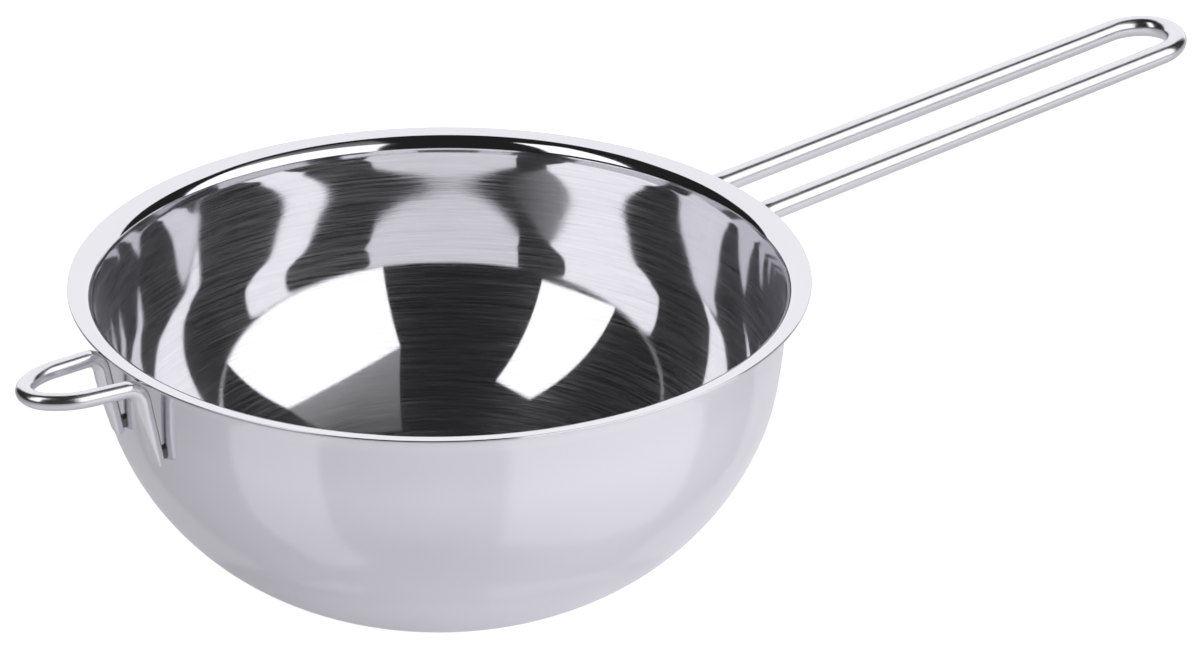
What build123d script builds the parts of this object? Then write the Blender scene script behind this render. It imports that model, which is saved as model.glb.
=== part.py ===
from build123d import *
import math
import os

# A spun steel water-bath bowl with a wire handle on one side and a wire pot hook on the other.
# Lengths are millimetres and angles degrees. The origin is the centre of the flat base's underside,
# +Z points up and the handle points along +X. A depth is measured down from the plane of the rim.

# The bowl, one piece of drawn sheet
rim_radius = 92.5
bowl_depth = 79.0
sheet_thickness = 0.8
lip_width = 5.6
lip_slope = 7.0
flare_radius = 3.2
wall_depth = 13.9
wall_taper = 2.8
base_radius = 41.5
base_slope = 20.0
knuckle_radius = 8.0
neck_radius = 142.0
neck_turn = 6.3
belly_turn_share = 0.88
rim_round_share = 0.3

# How both wires stand on the wall. A leg's slope is measured from upright. Its lift or drop runs along
# the leg, from the place where its line comes nearest to the wall's curve to its cut end.
weld_gap = 0.08
weld_root_share = 0.75

# The handle, one bent wire
handle_wire = 5.9
handle_length = 153.0
handle_spacing = 21.3
handle_end_length = 12.1
handle_slope = 5.6
handle_bend_radius = 7.4
handle_lip_clearance = 0.25
handle_leg_slope = 4.5
handle_leg_drop = 9.6
handle_leg_tail = 1.5
handle_weld_length = 8.0
handle_weld_width = 3.0
handle_end_round = 0.5

# The pot hook, one bent wire
hook_wire = 4.2
hook_length = 22.2
hook_leg_spacing = 20.1
hook_end_spacing = 18.1
hook_end_length = 11.5
hook_slope = 0.5
hook_bend_radius = 4.4
hook_lip_clearance = 0.05
hook_leg_slope = 9.4
hook_leg_lift = 5.6
hook_leg_tail = 0.4
hook_weld_length = 3.6
hook_weld_width = 2.1
hook_end_round = 0.4
hook_flat_depth = 1.7
hook_flat_length = 16.0

# Share of a rounded wire end's quarter turn that its flatter first arc takes
end_side_turn_share = 0.45


def heading(angle):
    """Unit vector at that angle from the first axis of a flat drawing."""
    return Vector(math.cos(math.radians(angle)), math.sin(math.radians(angle)))


def arc_pair(start, start_angle, end, end_angle, first_share):
    """Where two tangent arcs from start to end meet, and the radii of both arcs."""
    turn = end_angle - start_angle
    first_turn = turn * first_share
    last_turn = turn - first_turn
    first_way = heading(start_angle + first_turn / 2)
    last_way = heading(end_angle - last_turn / 2)
    span = end - start
    cross = first_way.X * last_way.Y - first_way.Y * last_way.X
    first_chord = (span.X * last_way.Y - span.Y * last_way.X) / cross
    last_chord = (first_way.X * span.Y - first_way.Y * span.X) / cross
    first_radius = first_chord / (2 * math.sin(math.radians(first_turn / 2)))
    last_radius = last_chord / (2 * math.sin(math.radians(last_turn / 2)))
    return start + first_way * first_chord, first_radius, last_radius


# Outside line of the bowl as points of radius and height. From the base up it has the belly, the
# shoulder, the flatter neck, the straight wall and the lip.
lip_underside = bowl_depth - sheet_thickness * math.cos(math.radians(lip_slope))
base_edge = Vector(base_radius, 0)
lip_edge = Vector(rim_radius, lip_underside)
lip_corner = lip_edge - Vector(lip_width, lip_width * math.tan(math.radians(lip_slope)))
wall_height = bowl_depth - wall_depth
wall_bottom = Vector(
    lip_corner.X - (lip_corner.Y - wall_height) * math.tan(math.radians(wall_taper)),
    wall_height,
)
neck_slope = wall_taper + neck_turn
neck_centre = wall_bottom - heading(-wall_taper) * neck_radius
neck_end = neck_centre + heading(-neck_slope) * neck_radius

# The belly takes its share of the range of turns in which both arcs curve upward
body_turn = 90 - neck_slope - base_slope
body_chord = neck_end - base_edge
chord_turn = 2 * (math.degrees(math.atan2(body_chord.Y, body_chord.X)) - base_slope)
least_turn = max(0, chord_turn - body_turn)
most_turn = min(body_turn, chord_turn)
belly_turn = least_turn + (most_turn - least_turn) * belly_turn_share
belly_end, _, shoulder_radius = arc_pair(
    base_edge, base_slope, neck_end, 90 - neck_slope, belly_turn / body_turn
)
shoulder_centre = neck_end - heading(-neck_slope) * shoulder_radius

with BuildPart() as bowl:
    with BuildSketch(Plane.XZ) as bowl_section:
        with BuildLine() as bowl_outside:
            Line((0, 0), base_edge)
            belly = TangentArc(base_edge, belly_end, tangent=heading(base_slope))
            shoulder = TangentArc(belly_end, neck_end, tangent=belly % 1)
            TangentArc(neck_end, wall_bottom, tangent=shoulder % 1)
            Line(wall_bottom, lip_corner)
            Line(lip_corner, lip_edge)
            knuckle_point = bowl_outside.vertices().sort_by_distance(base_edge)[0]
            fillet(knuckle_point, knuckle_radius)
            flare_point = bowl_outside.vertices().sort_by_distance(lip_corner)[0]
            fillet(flare_point, flare_radius)
            offset(amount=sheet_thickness, side=Side.LEFT)
        make_face()
        rim_corners = bowl_section.vertices().sort_by(Axis.X)[-2:]
        fillet(rim_corners, sheet_thickness * rim_round_share)
    revolve(axis=Axis.Z)
bowl.part.label = "bowl"


def leg_foot(wire, spacing, leg_slope):
    """Point of a leg's centreline nearest to the wall, on the +X side, and its lean in the XZ plane."""
    if leg_slope < neck_slope:
        centre, radius = neck_centre, neck_radius
    else:
        centre, radius = shoulder_centre, shoulder_radius
    touch = centre + heading(-leg_slope) * (radius + wire / 2 + weld_gap)
    along = math.sqrt(touch.X**2 - (spacing / 2) ** 2)
    lean = math.degrees(math.atan(math.tan(math.radians(leg_slope)) * touch.X / along))
    return Vector(along, spacing / 2, touch.Y), lean


def wire_path(
    wire, length, leg_spacing, end_spacing, end_length, slope, bend_radius, lip_clearance, foot, lean, lift
):
    """Centreline of a wire loop on the +X side: a leg, an arm, the rounded end, an arm and a leg."""
    reach = rim_radius + length
    climb = math.tan(math.radians(slope))
    edge_x = math.sqrt(rim_radius**2 - (leg_spacing / 2) ** 2)
    edge_height = lip_underside - lip_clearance - wire / 2 / math.cos(math.radians(slope))

    def on_loop(x, y):
        return Vector(x, y, edge_height + (x - edge_x) * climb)

    leg_way = Vector(math.sin(math.radians(lean)), 0, math.cos(math.radians(lean)))
    leg_end = foot + leg_way * lift
    corner_rise = (on_loop(foot.X, 0).Z - foot.Z) / (leg_way.Z - leg_way.X * climb)
    corner = foot + leg_way * corner_rise
    tip = Vector(reach, 0)
    end_start = Vector(reach - end_length, end_spacing / 2)
    arm_way = end_start - Vector(corner.X, corner.Y)
    arm_angle = math.degrees(math.atan2(arm_way.Y, arm_way.X))
    side_end, _, _ = arc_pair(end_start, arm_angle, tip, -90, end_side_turn_share)
    with BuildLine() as path:
        leg_and_arm = FilletPolyline(
            leg_end, corner, on_loop(end_start.X, end_start.Y), radius=bend_radius
        )
        side = TangentArc(
            leg_and_arm @ 1, on_loop(side_end.X, side_end.Y), tangent=leg_and_arm % 1
        )
        TangentArc(side @ 1, on_loop(tip.X, tip.Y), tangent=side % 1)
        mirror(about=Plane.XZ)
    return path.wires()[0]


handle_foot, handle_lean = leg_foot(handle_wire, handle_spacing, handle_leg_slope)
handle_path = wire_path(
    handle_wire,
    handle_length,
    handle_spacing,
    handle_spacing,
    handle_end_length,
    handle_slope,
    handle_bend_radius,
    handle_lip_clearance,
    handle_foot,
    handle_lean,
    -handle_leg_drop,
)
hook_foot, hook_lean = leg_foot(hook_wire, hook_leg_spacing, hook_leg_slope)
hook_path = wire_path(
    hook_wire,
    hook_length,
    hook_leg_spacing,
    hook_end_spacing,
    hook_end_length,
    hook_slope,
    hook_bend_radius,
    hook_lip_clearance,
    hook_foot,
    hook_lean,
    hook_leg_lift,
).mirror(Plane.YZ)


def leg_planes(foot, leg_slope, lean, distance, way):
    """A plane along each leg's centreline that faces the wall, centred at that distance above its foot.

    Its x axis runs up the leg. way is 1 for the wire on +X and -1 for the one on -X.
    """
    slope = math.radians(leg_slope)
    azimuth = math.atan2(foot.Y, foot.X)
    planes = []
    for side in (1, -1):
        inward = Vector(
            -way * math.cos(slope) * math.cos(azimuth),
            -side * math.cos(slope) * math.sin(azimuth),
            math.sin(slope),
        )
        leg_way = Vector(way * math.sin(math.radians(lean)), 0, math.cos(math.radians(lean)))
        origin = Vector(way * foot.X, side * foot.Y, foot.Z) + leg_way * distance
        planes.append(Plane(origin=origin, x_dir=leg_way, z_dir=inward))
    return planes


with BuildPart() as handle:
    with BuildSketch(Plane(origin=handle_path @ 0, z_dir=handle_path % 0)):
        Circle(handle_wire / 2)
    sweep(path=handle_path)
    handle_leg_ends = handle.faces().filter_by(GeomType.PLANE).edges()
    fillet(handle_leg_ends, handle_end_round)
handle.part.label = "handle"

with BuildPart() as hook:
    with BuildSketch(Plane(origin=hook_path @ 0, z_dir=hook_path % 0)):
        Circle(hook_wire / 2)
    sweep(path=hook_path)
    hook_leg_ends = hook.faces().filter_by(GeomType.PLANE).edges()
    fillet(hook_leg_ends, hook_end_round)
    # The welding press leaves a flat outside each leg, deepest at its end and running out below the bend
    flat_slope = math.degrees(math.atan(hook_flat_depth / hook_flat_length))
    for leg_plane in leg_planes(hook_foot, hook_leg_slope, hook_lean, hook_leg_lift, -1):
        flat = leg_plane.offset(hook_flat_depth - hook_wire / 2).rotated((0, -flat_slope, 0))
        with BuildSketch(flat):
            Rectangle(hook_flat_length * 2 + hook_wire / 2, hook_wire * 2)
        extrude(amount=-hook_wire, mode=Mode.SUBTRACT)
hook.part.label = "hook"

# Each weld fills its joint from the wire's middle into the sheet
weld_root = weld_gap + sheet_thickness * weld_root_share
handle_weld_lift = handle_leg_tail + handle_weld_length / 2 - handle_leg_drop
hook_weld_lift = hook_leg_lift + hook_leg_tail + hook_weld_length / 2

with BuildPart() as handle_welds:
    with BuildSketch(*leg_planes(handle_foot, handle_leg_slope, handle_lean, handle_weld_lift, 1)):
        SlotOverall(handle_weld_length, handle_weld_width)
    extrude(amount=handle_wire / 2 + weld_root)
    add(bowl.part, mode=Mode.SUBTRACT)
    add(handle.part, mode=Mode.SUBTRACT)
handle_welds.part.label = "handle_welds"

with BuildPart() as hook_welds:
    with BuildSketch(*leg_planes(hook_foot, hook_leg_slope, hook_lean, hook_weld_lift, -1)):
        SlotOverall(hook_weld_length, hook_weld_width)
    extrude(amount=hook_wire / 2 + weld_root)
    add(bowl.part, mode=Mode.SUBTRACT)
    add(hook.part, mode=Mode.SUBTRACT)
hook_welds.part.label = "hook_welds"

os.makedirs("parts", exist_ok=True)
for piece in (bowl, handle, hook, handle_welds, hook_welds):
    export_step(piece.part, f"parts/{piece.part.label}.step")
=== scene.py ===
import math

import bpy
from mathutils import Matrix, Vector


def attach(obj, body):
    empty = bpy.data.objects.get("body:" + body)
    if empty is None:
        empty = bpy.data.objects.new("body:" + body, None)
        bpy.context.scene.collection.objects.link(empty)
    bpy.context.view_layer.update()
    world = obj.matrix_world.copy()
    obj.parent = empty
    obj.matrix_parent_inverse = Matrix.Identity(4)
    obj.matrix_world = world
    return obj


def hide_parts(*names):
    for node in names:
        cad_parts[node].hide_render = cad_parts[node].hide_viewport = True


# Looks of a steel water-bath bowl with a wire handle and a wire pot hook. Metres, in the CAD frame:
# the origin is under the centre of the base, +Z is up and the handle points along +X.

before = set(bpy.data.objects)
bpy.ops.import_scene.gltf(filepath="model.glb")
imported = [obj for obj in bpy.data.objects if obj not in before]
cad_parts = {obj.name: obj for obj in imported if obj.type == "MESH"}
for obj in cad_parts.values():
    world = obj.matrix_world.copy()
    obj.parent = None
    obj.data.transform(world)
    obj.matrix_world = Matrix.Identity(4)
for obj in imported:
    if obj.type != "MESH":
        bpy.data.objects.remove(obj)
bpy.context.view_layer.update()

# The bowl's own sizes, as in the CAD source
rim_radius = 0.0925
bowl_depth = 0.079
sheet = 0.0008
lip_width = 0.0056
lip_slope = math.radians(7.0)
flare_radius = 0.0032
wall_depth = 0.0139
wall_taper = math.radians(2.8)
base_radius = 0.0415
base_slope = math.radians(20.0)
knuckle_radius = 0.008
neck_radius = 0.142
neck_turn = math.radians(6.3)
belly_turn_share = 0.88
rim_round = 0.00024

# A gentle opening of the wall below the flare and an easing of its curve, which only the looks have
lead_length = 0.0036
lead_turn = math.radians(9.0)
easing_reach = 0.0045

# The wires' own sizes, as in the CAD source
weld_gap = 0.00008
end_side_turn_share = 0.45
handle_sizes = {
    "wire": 0.0059,
    "length": 0.153,
    "leg_spacing": 0.0213,
    "end_spacing": 0.0213,
    "end_length": 0.0121,
    "slope": math.radians(5.6),
    "bend_radius": 0.0074,
    "lip_clearance": 0.00025,
    "leg_slope": math.radians(4.5),
    "leg_lift": -0.0096,
    "end_round": 0.0005,
}
hook_sizes = {
    "wire": 0.0042,
    "length": 0.0222,
    "leg_spacing": 0.0201,
    "end_spacing": 0.0181,
    "end_length": 0.0115,
    "slope": math.radians(0.5),
    "bend_radius": 0.0044,
    "lip_clearance": 0.00005,
    "leg_slope": math.radians(9.4),
    "leg_lift": 0.0056,
    "end_round": 0.0004,
}
hook_flat_depth = 0.0017
hook_flat_length = 0.016

# How finely the forms are divided
around_bowl = 480
around_wire = 64
arc_step = math.radians(1.5)
flat_steps = 12
lip_steps = 4
leg_steps = 36
arm_steps = 40
cut_end_steps = 6


def heading(angle):
    return Vector((math.cos(angle), math.sin(angle)))


def arc_pair(start, start_angle, end, end_angle, first_share):
    """Where two tangent arcs from start to end meet, and both radii."""
    first_turn = (end_angle - start_angle) * first_share
    last_turn = (end_angle - start_angle) - first_turn
    first_way = heading(start_angle + first_turn / 2)
    last_way = heading(end_angle - last_turn / 2)
    span = end - start
    cross = first_way.x * last_way.y - first_way.y * last_way.x
    first_chord = (span.x * last_way.y - span.y * last_way.x) / cross
    last_chord = (first_way.x * span.y - first_way.y * span.x) / cross
    first_radius = first_chord / (2 * math.sin(first_turn / 2))
    last_radius = last_chord / (2 * math.sin(last_turn / 2))
    return start + first_way * first_chord, first_radius, last_radius


def arc_points(centre, radius, start, end, step=arc_step):
    count = max(2, math.ceil(abs(end - start) / step))
    return [centre + heading(start + (end - start) * i / count) * radius for i in range(count + 1)]


# The bowl's section: centres of its arcs, which the inside and the outside share
lip_underside = bowl_depth - sheet * math.cos(lip_slope)
lip_edge = Vector((rim_radius, lip_underside))
lip_corner = lip_edge - Vector((lip_width, lip_width * math.tan(lip_slope)))
wall_height = bowl_depth - wall_depth
wall_bottom = Vector((lip_corner.x - (lip_corner.y - wall_height) * math.tan(wall_taper), wall_height))
base_edge = Vector((base_radius, 0))
wall_angle = math.pi / 2 - wall_taper
neck_slope = wall_taper + neck_turn
neck_centre = wall_bottom - heading(-wall_taper) * neck_radius
neck_end = neck_centre + heading(-neck_slope) * neck_radius
body_turn = math.pi / 2 - neck_slope - base_slope
body_chord = neck_end - base_edge
chord_turn = 2 * (math.atan2(body_chord.y, body_chord.x) - base_slope)
least_turn = max(0.0, chord_turn - body_turn)
most_turn = min(body_turn, chord_turn)
belly_turn = least_turn + (most_turn - least_turn) * belly_turn_share
belly_end, belly_radius, shoulder_radius = arc_pair(
    base_edge, base_slope, neck_end, math.pi / 2 - neck_slope, belly_turn / body_turn
)
shoulder_centre = neck_end - heading(-neck_slope) * shoulder_radius
join_angle = math.atan2(belly_end.y - shoulder_centre.y, belly_end.x - shoulder_centre.x)
belly_centre = belly_end - heading(join_angle) * belly_radius
knuckle_reach = math.sqrt((belly_radius - knuckle_radius) ** 2 - (belly_centre.y - knuckle_radius) ** 2)
knuckle_centre = Vector((belly_centre.x + knuckle_reach, knuckle_radius))
knuckle_angle = math.atan2(knuckle_centre.y - belly_centre.y, knuckle_centre.x - belly_centre.x)
flare_turn = wall_angle - lead_turn - lip_slope
flare_setback = flare_radius * math.tan(flare_turn / 2)
lead_radius = lead_length / lead_turn
lead_start = lip_corner - heading(wall_angle) * (flare_setback + lead_length)
lead_centre = lead_start + heading(-wall_taper) * lead_radius
flare_start = lead_centre + heading(math.pi - wall_taper - lead_turn) * lead_radius
flare_centre = flare_start + heading(-wall_taper - lead_turn) * flare_radius


def eased(points):
    """The same points with the jumps of curvature between the arcs spread over a few millimetres."""
    moved = []
    for point in points:
        span = min(easing_reach, (point - points[0]).length, (points[-1] - point).length)
        near = []
        for other in points:
            gap = (other - point).length
            if gap < span:
                near.append((other, 1 - gap / span))
        weight = sum(w for _, w in near)
        middle = sum((other * w for other, w in near), Vector((0, 0))) / weight if near else point
        moved.append(middle)
    return moved


def bowl_line(offset):
    """Points of radius and height from the base's middle to the lip's edge, offset inward."""
    flat = [Vector((knuckle_centre.x * i / flat_steps, offset)) for i in range(flat_steps)]
    knuckle = arc_points(knuckle_centre, knuckle_radius - offset, -math.pi / 2, knuckle_angle, arc_step * 2)
    belly = arc_points(belly_centre, belly_radius - offset, knuckle_angle, join_angle, arc_step / 2)
    shoulder = arc_points(shoulder_centre, shoulder_radius - offset, join_angle, -neck_slope, arc_step / 2)
    neck = arc_points(neck_centre, neck_radius - offset, -neck_slope, -wall_taper, arc_step / 4)
    lead_end = math.pi - wall_taper - lead_turn
    flare_end = math.pi / 2 + lip_slope
    lead = arc_points(lead_centre, lead_radius + offset, math.pi - wall_taper, lead_end, arc_step / 3)
    flare = arc_points(flare_centre, flare_radius + offset, lead_end, flare_end, arc_step * 2)
    wall = [neck[-1].lerp(lead[0], i / flat_steps) for i in range(1, flat_steps)]
    outer = lip_edge + heading(lip_slope + math.pi / 2) * offset
    lip_end = outer - heading(lip_slope) * rim_round
    lip = [flare[-1].lerp(lip_end, i / lip_steps) for i in range(1, lip_steps + 1)]
    body = belly[1:] + shoulder[1:] + neck[1:] + wall
    return flat + knuckle + eased(body + lead) + flare[1:] + lip


def rim_edge():
    """The lip's cut edge from its top to its underside, with small rounds."""
    along = heading(lip_slope)
    up = heading(lip_slope + math.pi / 2)
    points = []
    for centre, start in (
        (lip_edge - along * rim_round + up * (sheet - rim_round), math.pi / 2 + lip_slope),
        (lip_edge - along * rim_round + up * rim_round, lip_slope),
    ):
        points += arc_points(centre, rim_round, start, start - math.pi / 2, math.pi / 12)
    return points[1:-1]


def add_piece(name, data):
    piece = bpy.data.objects.new(name, data)
    bpy.context.scene.collection.objects.link(piece)
    return piece


def shade_smooth(mesh):
    for face in mesh.polygons:
        face.use_smooth = True


def turned(name, line, zones, materials):
    """A closed line of radius and height, turned round the Z axis, with a material for each zone."""
    vertices = []
    rings = []
    for point in line:
        if point.x < 1e-6:
            rings.append([len(vertices)] * around_bowl)
            vertices.append((0, 0, point.y))
        else:
            rings.append(list(range(len(vertices), len(vertices) + around_bowl)))
            for i in range(around_bowl):
                angle = 2 * math.pi * i / around_bowl
                vertices.append((point.x * math.cos(angle), point.x * math.sin(angle), point.y))
    faces = []
    slots = []
    for k, (low, high) in enumerate(zip(rings, rings[1:])):
        for i in range(around_bowl):
            j = (i + 1) % around_bowl
            corners = [low[i], low[j], high[j], high[i]]
            faces.append(tuple(dict.fromkeys(corners)))
            slots.append(zones[k])
    mesh = bpy.data.meshes.new(name)
    mesh.from_pydata(vertices, [], faces)
    for material in materials:
        mesh.materials.append(material)
    mesh.polygons.foreach_set("material_index", slots)
    shade_smooth(mesh)
    return add_piece(name, mesh)


def tangent_arc(start, way, end):
    """Points of the arc that leaves start along way and reaches end, and its way there."""
    way = way.normalized()
    chord = end - start
    side = (chord - way * chord.dot(way)).normalized()
    turn = 2 * way.angle(chord)
    radius = chord.length / (2 * math.sin(turn / 2))
    count = max(2, math.ceil(turn / arc_step))
    points = []
    for i in range(1, count + 1):
        a = turn * i / count
        points.append(start + way * (radius * math.sin(a)) + side * (radius * (1 - math.cos(a))))
    return points, way * math.cos(turn) + side * math.sin(turn)


def leg_frame(sizes):
    """A leg's point nearest to the wall, its way up and its way out from the wall, on the +X +Y side."""
    slope = sizes["leg_slope"]
    half_legs = sizes["leg_spacing"] / 2
    if slope < neck_slope:
        centre, radius = neck_centre, neck_radius
    else:
        centre, radius = shoulder_centre, shoulder_radius
    touch = centre + heading(-slope) * (radius + sizes["wire"] / 2 + weld_gap)
    along = math.sqrt(touch.x**2 - half_legs**2)
    lean = math.atan(math.tan(slope) * touch.x / along)
    azimuth = math.atan2(half_legs, along)
    foot = Vector((along, half_legs, touch.y))
    leg_way = Vector((math.sin(lean), 0, math.cos(lean)))
    out = Vector((math.cos(slope) * math.cos(azimuth), math.cos(slope) * math.sin(azimuth), -math.sin(slope)))
    return foot, leg_way, out


def wire_line(sizes, towards):
    """Points along the middle of a wire loop: leg, arm, rounded end, arm, leg."""
    foot, leg_way, _ = leg_frame(sizes)
    climb = math.tan(sizes["slope"])
    edge_x = math.sqrt(rim_radius**2 - (sizes["leg_spacing"] / 2) ** 2)
    edge_height = lip_underside - sizes["lip_clearance"] - sizes["wire"] / 2 / math.cos(sizes["slope"])

    def on_loop(x, y):
        return Vector((x, y, edge_height + (x - edge_x) * climb))

    leg_end = foot + leg_way * sizes["leg_lift"]
    corner = foot + leg_way * ((on_loop(foot.x, 0).z - foot.z) / (leg_way.z - leg_way.x * climb))
    reach = rim_radius + sizes["length"]
    tip = Vector((reach, 0))
    end_start = Vector((reach - sizes["end_length"], sizes["end_spacing"] / 2))
    arm_angle = math.atan2(end_start.y - corner.y, end_start.x - corner.x)
    side_end, _, _ = arc_pair(end_start, arm_angle, tip, -math.pi / 2, end_side_turn_share)
    arm_end = on_loop(end_start.x, end_start.y)
    arm_way = (arm_end - corner).normalized()
    setback = sizes["bend_radius"] * math.tan(leg_way.angle(arm_way) / 2)
    bend_start = corner - leg_way * setback
    bend_end = corner + arm_way * setback
    bend, _ = tangent_arc(bend_start, leg_way, bend_end)
    side, side_way = tangent_arc(arm_end, arm_way, on_loop(side_end.x, side_end.y))
    last, _ = tangent_arc(side[-1], side_way, on_loop(tip.x, tip.y))
    leg = [leg_end.lerp(bend_start, i / leg_steps) for i in range(leg_steps + 1)]
    arm = [bend[-1].lerp(arm_end, i / arm_steps) for i in range(1, arm_steps + 1)]
    half = leg + bend + arm + side + last
    half = [Vector((p.x * towards, p.y, p.z)) for p in half]
    other = [Vector((p.x, -p.y, p.z)) for p in reversed(half[:-1])]
    return half + other


def tube(name, line, sizes, material):
    """A round wire along a line of points, with rounded cut ends."""
    radius = sizes["wire"] / 2
    end_round = sizes["end_round"]
    rings = []
    ways = []
    for i in range(len(line)):
        before = line[max(i - 1, 0)]
        after = line[min(i + 1, len(line) - 1)]
        ways.append((after - before).normalized())
    side = ways[0].orthogonal().normalized()
    sides = []
    for way in ways:
        side = (side - way * side.dot(way)).normalized()
        sides.append(side)
    caps = [
        (end_round * (1 - math.sin(a)), radius - end_round * (1 - math.cos(a)))
        for a in [math.pi / 2 * i / cut_end_steps for i in range(cut_end_steps + 1)]
    ]
    vertices = []

    def add_ring(centre, way, across, r):
        other = way.cross(across)
        rings.append(list(range(len(vertices), len(vertices) + around_wire)))
        for i in range(around_wire):
            a = 2 * math.pi * i / around_wire
            vertices.append(centre + (across * math.cos(a) + other * math.sin(a)) * r)

    for back, r in reversed(caps[1:]):
        add_ring(line[0] + ways[0] * back, ways[0], sides[0], r)
    for i, centre in enumerate(line):
        if i == 0:
            centre = line[0] + ways[0] * end_round
        if i == len(line) - 1:
            centre = line[-1] - ways[-1] * end_round
        add_ring(centre, ways[i], sides[i], radius)
    for back, r in caps[1:]:
        add_ring(line[-1] - ways[-1] * back, ways[-1], sides[-1], r)
    faces = []
    for low, high in zip(rings, rings[1:]):
        for i in range(around_wire):
            j = (i + 1) % around_wire
            faces.append((low[i], low[j], high[j], high[i]))
    faces.append(tuple(reversed(rings[0])))
    faces.append(tuple(rings[-1]))
    mesh = bpy.data.meshes.new(name)
    mesh.from_pydata(vertices, [], faces)
    mesh.materials.append(material)
    shade_smooth(mesh)
    return add_piece(name, mesh)


def press_legs(piece, sizes, towards, depth, length):
    """Press a flat on the outside of both legs, deepest at their ends."""
    foot, leg_way, out = leg_frame(sizes)
    leg_end = foot + leg_way * sizes["leg_lift"]
    flat_way = (out * length - leg_way * depth).normalized()
    flat_point = leg_end + out * (sizes["wire"] / 2 - depth)
    for vertex in piece.data.vertices:
        point = Vector((vertex.co.x * towards, abs(vertex.co.y), vertex.co.z))
        if (point - leg_end).dot(leg_way) > length:
            continue
        point -= flat_way * max(0.0, (point - flat_point).dot(flat_way))
        vertex.co = (point.x * towards, math.copysign(point.y, vertex.co.y), point.z)


class Nodes:
    """Short hand for making a material's nodes."""

    def __init__(self, material):
        material.use_nodes = True
        self.tree = material.node_tree
        self.tree.nodes.clear()

    def add(self, kind, inputs=None, **settings):
        node = self.tree.nodes.new(kind)
        for name, value in settings.items():
            setattr(node, name, value)
        for name, value in (inputs or {}).items():
            if hasattr(value, "is_output"):
                self.tree.links.new(value, node.inputs[name])
            else:
                node.inputs[name].default_value = value
        return node

    def math(self, operation, a, b=0.0):
        node = self.tree.nodes.new("ShaderNodeMath")
        node.operation = operation
        for socket, value in zip(node.inputs, (a, b)):
            if hasattr(value, "is_output"):
                self.tree.links.new(value, socket)
            else:
                socket.default_value = value
        return node.outputs[0]

    def spread(self, value, low, high, to_low, to_high):
        node = self.add(
            "ShaderNodeMapRange",
            {"From Min": low, "From Max": high, "To Min": to_low, "To Max": to_high},
        )
        self.tree.links.new(value, node.inputs["Value"])
        return node.outputs["Result"]

    def noise(self, place, scale, detail):
        inputs = {"Vector": place, "Scale": scale, "Detail": detail, "Roughness": 0.6}
        return self.add("ShaderNodeTexNoise", inputs).outputs["Fac"]


def turned_coordinates(n, along_scale, across_scale):
    """Noise coordinates that run in streaks round the Z axis."""
    place = n.add("ShaderNodeTexCoord").outputs["Object"]
    split = n.add("ShaderNodeSeparateXYZ", {"Vector": place})
    x, y, z = split.outputs
    radius = n.math("SQRT", n.math("ADD", n.math("MULTIPLY", x, x), n.math("MULTIPLY", y, y)))
    round_x = n.math("DIVIDE", x, n.math("MAXIMUM", radius, 0.0005))
    round_y = n.math("DIVIDE", y, n.math("MAXIMUM", radius, 0.0005))
    across = n.math("ADD", radius, z)
    joined = n.add("ShaderNodeCombineXYZ")
    n.tree.links.new(n.math("MULTIPLY", round_x, along_scale), joined.inputs[0])
    n.tree.links.new(n.math("MULTIPLY", round_y, along_scale), joined.inputs[1])
    n.tree.links.new(n.math("MULTIPLY", across, across_scale), joined.inputs[2])
    return joined.outputs[0]


# How often the noise of the inside's grooves changes: along them per radian, and across them per metre
fine_grooves = (5.0, 3600.0)
broad_grooves = (2.5, 1500.0)
steel_colour = (0.80, 0.796, 0.82)


def brushed_inside():
    """Polished steel with fine grooves round the axis, which scatter a small share of the light widely."""
    material = bpy.data.materials.new("steel_brushed_inside")
    n = Nodes(material)
    fine = n.noise(turned_coordinates(n, *fine_grooves), 1.0, 3.0)
    broad = n.noise(turned_coordinates(n, *broad_grooves), 1.0, 3.0)
    streaks = n.math("ADD", n.math("MULTIPLY", fine, 0.6), n.math("MULTIPLY", broad, 0.4))
    tint = n.add("ShaderNodeMixRGB", {"Color1": (0.785, 0.781, 0.805, 1), "Color2": (*steel_colour, 1)})
    n.tree.links.new(n.spread(fine, 0.3, 0.7, 0.0, 1.0), tint.inputs["Fac"])
    bump = n.add("ShaderNodeBump", {"Strength": 0.12, "Distance": 0.00002, "Height": fine})
    round_way = n.add("ShaderNodeTangent", direction_type="RADIAL", axis="Z")
    common = {
        "Metallic": 1.0,
        "Anisotropic Rotation": 0.25,
        "Tangent": round_way.outputs[0],
        "Normal": bump.outputs[0],
    }
    mirror = n.add(
        "ShaderNodeBsdfPrincipled",
        {
            **common,
            "Base Color": tint.outputs[0],
            "Roughness": n.spread(fine, 0.35, 0.7, 0.02, 0.08),
            "Anisotropic": 0.7,
        },
    )
    grooves = n.add(
        "ShaderNodeBsdfPrincipled",
        {**common, "Base Color": (0.93, 0.926, 0.95, 1), "Roughness": 0.45, "Anisotropic": 0.9},
    )
    share = n.spread(streaks, 0.42, 0.64, 0.02, 0.19)
    both = n.add("ShaderNodeMixShader", {0: share, 1: mirror.outputs[0], 2: grooves.outputs[0]})
    n.add("ShaderNodeOutputMaterial", {"Surface": both.outputs[0]})
    return material


def polished(name, colour, low, high, scale):
    """Steel whose roughness varies between low and high in small clouds."""
    material = bpy.data.materials.new(name)
    n = Nodes(material)
    place = n.add("ShaderNodeTexCoord").outputs["Object"]
    rough = n.spread(n.noise(place, scale, 4.0), 0.3, 0.7, low, high)
    shader = n.add(
        "ShaderNodeBsdfPrincipled",
        {"Base Color": (*colour, 1), "Metallic": 1.0, "Roughness": rough},
    )
    n.add("ShaderNodeOutputMaterial", {"Surface": shader.outputs[0]})
    return material


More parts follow.
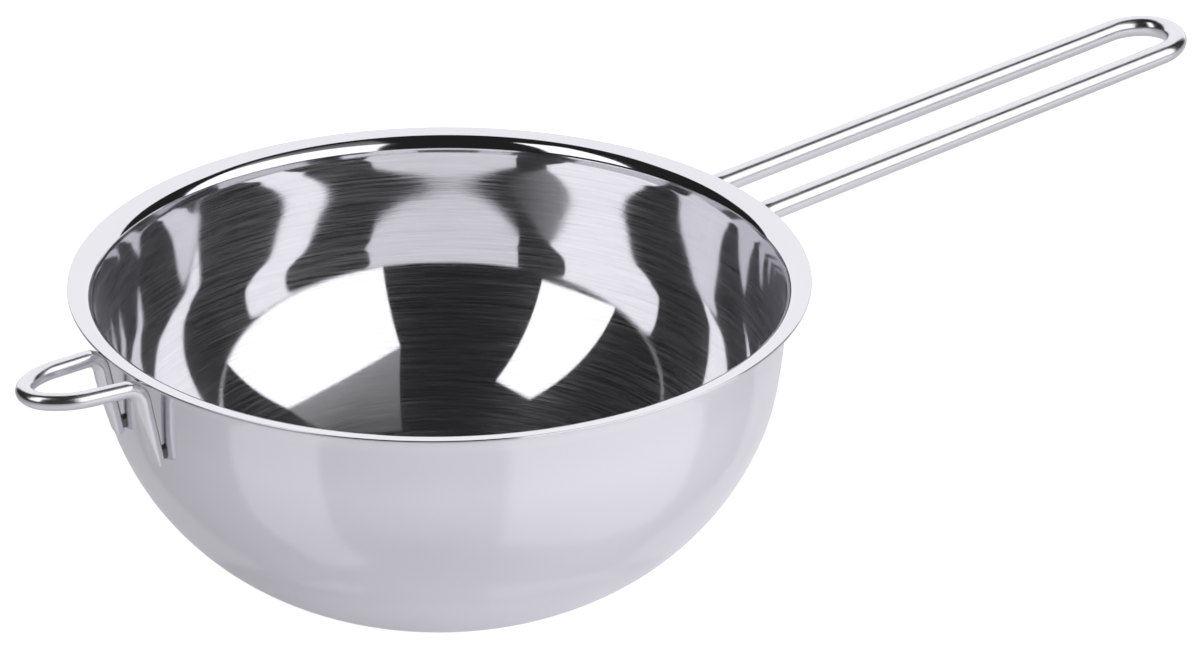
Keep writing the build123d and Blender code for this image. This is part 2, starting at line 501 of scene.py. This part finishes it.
steel_inside = brushed_inside()
steel_rim = polished("steel_polished_rim", steel_colour, 0.05, 0.09, 60.0)
steel_outside = polished("steel_satin_outside", (0.79, 0.785, 0.82), 0.1, 0.15, 40.0)
steel_wire = polished("steel_polished_wire", steel_colour, 0.18, 0.25, 300.0)
steel_weld = polished("steel_weld", (0.2, 0.19, 0.18), 0.35, 0.5, 900.0)

# The bowl's closed section, with the inside, the polished lip and the outside as zones of their own.
# The polish goes round the lip's edge and on to the start of the flare's underside.
inside_line = bowl_line(sheet)
outside_line = bowl_line(0.0)
edge = rim_edge()
section = inside_line + edge + list(reversed(outside_line))
polish_first = next(i for i, point in enumerate(inside_line) if point.y > flare_centre.y)
polish_end = len(inside_line) - 1 + len(edge) + lip_steps + 2
zones = []
for k in range(len(section) - 1):
    if k < polish_first:
        zones.append(0)
    elif k < polish_end:
        zones.append(1)
    else:
        zones.append(2)
bowl = turned("bowl_shell", section, zones, [steel_inside, steel_rim, steel_outside])
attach(bowl, "root")
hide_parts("bowl")

handle = tube("handle_wire", wire_line(handle_sizes, 1), handle_sizes, steel_wire)
hook = tube("hook_wire", wire_line(hook_sizes, -1), hook_sizes, steel_wire)
press_legs(hook, hook_sizes, -1, hook_flat_depth, hook_flat_length)
for piece, node in ((handle, "handle"), (hook, "hook")):
    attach(piece, "root")
    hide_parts(node)
for node in ("handle_welds", "hook_welds"):
    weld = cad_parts[node]
    weld.data.materials.clear()
    weld.data.materials.append(steel_weld)

# The studio. Its own axes are x to the picture's right, y away from the camera and z up, from the
# middle of the rim. Its cards are placed by what the steel mirrors in the photo.
view_turn = math.radians(-32.6)
rim_middle = Vector((0, 0, bowl_depth))
light_tint = (0.985, 0.98, 1.01)
softbox_light = 1.4
softbox_top = 1.24
spill_light = 0.3
spill_top_light = 0.08
spill_corners = [(0.393, -1.007, 1.25), (1.168, 0.098, 1.25), (1.0, 0.3, 1.9), (0.33, 0.1, 1.9)]
backdrop_light = 1.03
backdrop_distance = 1.2
backdrop_foot = [(-1.12, 0.001 - bowl_depth), (1.45, 0.001 - bowl_depth)]
backdrop_middle = [(-1.6, 1.3), (1.6, 1.3)]
backdrop_top = [(2.35, 3.3), (1.1, 3.65), (0.45, 3.7), (0, 3.45), (-0.45, 3.18), (-1.7, 3.05)]
floor_half_size = 30.0
floor_gap = 0.00005


def studio(x, y, z):
    return Matrix.Rotation(view_turn, 3, "Z") @ Vector((x, y, z)) + rim_middle


def card(name, corners, strength, top_strength=None):
    """A flat soft light or pale card, which only reflections and light see, and which may fade upward."""
    places = [studio(*corner) for corner in corners]
    heights = [place.z for place in places]
    mesh = bpy.data.meshes.new(name)
    mesh.from_pydata(places, [], [tuple(range(len(places)))])
    material = bpy.data.materials.new(name + "_light")
    n = Nodes(material)
    if top_strength is not None:
        place = n.add("ShaderNodeTexCoord").outputs["Object"]
        height = n.add("ShaderNodeSeparateXYZ", {"Vector": place}).outputs["Z"]
        strength = n.spread(height, min(heights), max(heights), strength, top_strength)
    glow = n.add("ShaderNodeEmission", {"Color": (*light_tint, 1), "Strength": strength})
    n.add("ShaderNodeOutputMaterial", {"Surface": glow.outputs[0]})
    mesh.materials.append(material)
    thing = add_piece(name, mesh)
    thing.visible_camera = False


def facing_corners(azimuth, distance, left, right, low, high):
    """Corners of an upright card that faces the bowl. Azimuth 0 is behind the bowl, and 90 at its right."""
    a = math.radians(azimuth)
    out = Vector((math.sin(a), math.cos(a)))
    side = Vector((math.cos(a), -math.sin(a)))
    corners = []
    for along, height in ((left, low), (right, low), (right, high), (left, high)):
        place = out * distance + side * along
        corners.append((place.x, place.y, height))
    return corners


def on_backdrop(outline):
    return [(x, backdrop_distance, height) for x, height in outline]


left_softbox = facing_corners(-126, distance=0.6, left=-0.16, right=0.18, low=0.15, high=softbox_top)
right_softbox = facing_corners(125, distance=0.9, left=-0.75, right=0.60, low=0.0, high=softbox_top)
card("soft_light_left", left_softbox, softbox_light)
card("soft_light_right", right_softbox, softbox_light)
card("spill_right", spill_corners, spill_light, spill_top_light)
card("backdrop_low", on_backdrop(backdrop_foot + backdrop_middle[::-1]), backdrop_light)
card("backdrop_high", on_backdrop(backdrop_middle + backdrop_top), backdrop_light)


def floor_look():
    """Plain and pale to the camera. To the steel that mirrors it, slightly glossy, with painted light: it
    glows brighter towards the right softbox and near the bowl.
    """
    material = bpy.data.materials.new("pale_floor")
    n = Nodes(material)
    place = n.add("ShaderNodeTexCoord").outputs["Object"]
    # Painted pool of light: for reflections the floor glows, brighter towards the right softbox and within
    # 0.16 m of the bowl's axis, fading to 0.4 of that beyond 0.26 m
    painted_light_way = studio(0.6, -0.8, 0) - rim_middle
    across = n.add("ShaderNodeVectorMath", {0: place, 1: painted_light_way}, operation="DOT_PRODUCT")
    away = n.add("ShaderNodeVectorMath", {0: place}, operation="LENGTH")
    painted_light_level = n.math(
        "MULTIPLY",
        n.spread(across.outputs["Value"], -0.12, 0.18, 0.07, 0.42),
        n.spread(away.outputs["Value"], 0.16, 0.26, 1.0, 0.4),
    )
    mirrored = n.add(
        "ShaderNodeBsdfPrincipled",
        {
            "Base Color": (0.9, 0.895, 0.92, 1),
            "Roughness": 0.08,
            "Specular IOR Level": 0.62,
            "Emission Color": (*light_tint, 1),
            "Emission Strength": painted_light_level,
        },
    )
    lit = n.add("ShaderNodeBsdfDiffuse", {"Color": (0.9, 0.9, 0.9, 1)})
    glow = n.add("ShaderNodeEmission", {"Color": (1, 1, 1, 1), "Strength": 0.78})
    seen = n.add("ShaderNodeAddShader", {0: lit.outputs[0], 1: glow.outputs[0]})
    by_camera = n.add("ShaderNodeLightPath").outputs["Is Camera Ray"]
    both = n.add("ShaderNodeMixShader", {0: by_camera, 1: mirrored.outputs[0], 2: seen.outputs[0]})
    n.add("ShaderNodeOutputMaterial", {"Surface": both.outputs[0]})
    return material


corner_signs = ((-1, -1), (1, -1), (1, 1), (-1, 1))
floor_corners = [(x * floor_half_size, y * floor_half_size, 0) for x, y in corner_signs]
floor_mesh = bpy.data.meshes.new("floor")
floor_mesh.from_pydata(floor_corners, [], [(0, 1, 2, 3)])
floor_mesh.materials.append(floor_look())
floor = add_piece("floor", floor_mesh)
floor.location.z = -floor_gap


def studio_world():
    """White to the camera, and nearly black to reflections and light."""
    world = bpy.data.worlds.new("studio")
    n = Nodes(world)
    dark = n.add("ShaderNodeBackground", {"Color": (0.017, 0.017, 0.0175, 1), "Strength": 1.0})
    white = n.add("ShaderNodeBackground", {"Color": (1, 1, 1, 1), "Strength": 1.0})
    by_camera = n.add("ShaderNodeLightPath").outputs["Is Camera Ray"]
    both = n.add("ShaderNodeMixShader", {0: by_camera, 1: dark.outputs[0], 2: white.outputs[0]})
    n.add("ShaderNodeOutputWorld", {"Surface": both.outputs[0]})
    return world


# The camera, fitted to the rim's ellipse and then to the bowl's outline and the wires
picture_width = 1200
picture_height = 655
focal_pixels = 3556.1
sensor_width = 36.0
rim_pixel = (440.96, 269.24)
camera_distance = 0.888
camera_elevation = math.radians(24.869)
camera_roll = math.radians(0.649)


def add_camera():
    """A camera turned so that the middle of the rim falls on its pixel in the photo."""
    place = Vector((0, -math.cos(camera_elevation), math.sin(camera_elevation))) * camera_distance
    forward = -place.normalized()
    right = Vector((1, 0, 0))
    up = right.cross(forward)
    aim_x = (rim_pixel[0] - picture_width / 2) / focal_pixels
    aim_y = (picture_height / 2 - rim_pixel[1]) / focal_pixels
    turn = Vector((0, 0, 1)).rotation_difference(Vector((aim_x, aim_y, 1.0))).to_matrix()
    looking = turn @ Matrix.Rotation(camera_roll, 3, "Z") @ Matrix((right, up, forward))
    axes = Matrix((looking[0], looking[1], -looking[2])).transposed()
    to_cad = Matrix.Rotation(view_turn, 3, "Z")
    data = bpy.data.cameras.new("camera")
    data.sensor_width = sensor_width
    data.lens = focal_pixels * sensor_width / picture_width
    camera = add_piece("camera", data)
    camera.matrix_world = Matrix.Translation(to_cad @ place + rim_middle) @ (to_cad @ axes).to_4x4()
    return camera


scene = bpy.context.scene
scene.world = studio_world()
scene.camera = add_camera()

scene.view_settings.view_transform = "Standard"
scene.cycles.max_bounces = 16
scene.cycles.glossy_bounces = 12

bpy.context.view_layer.update()
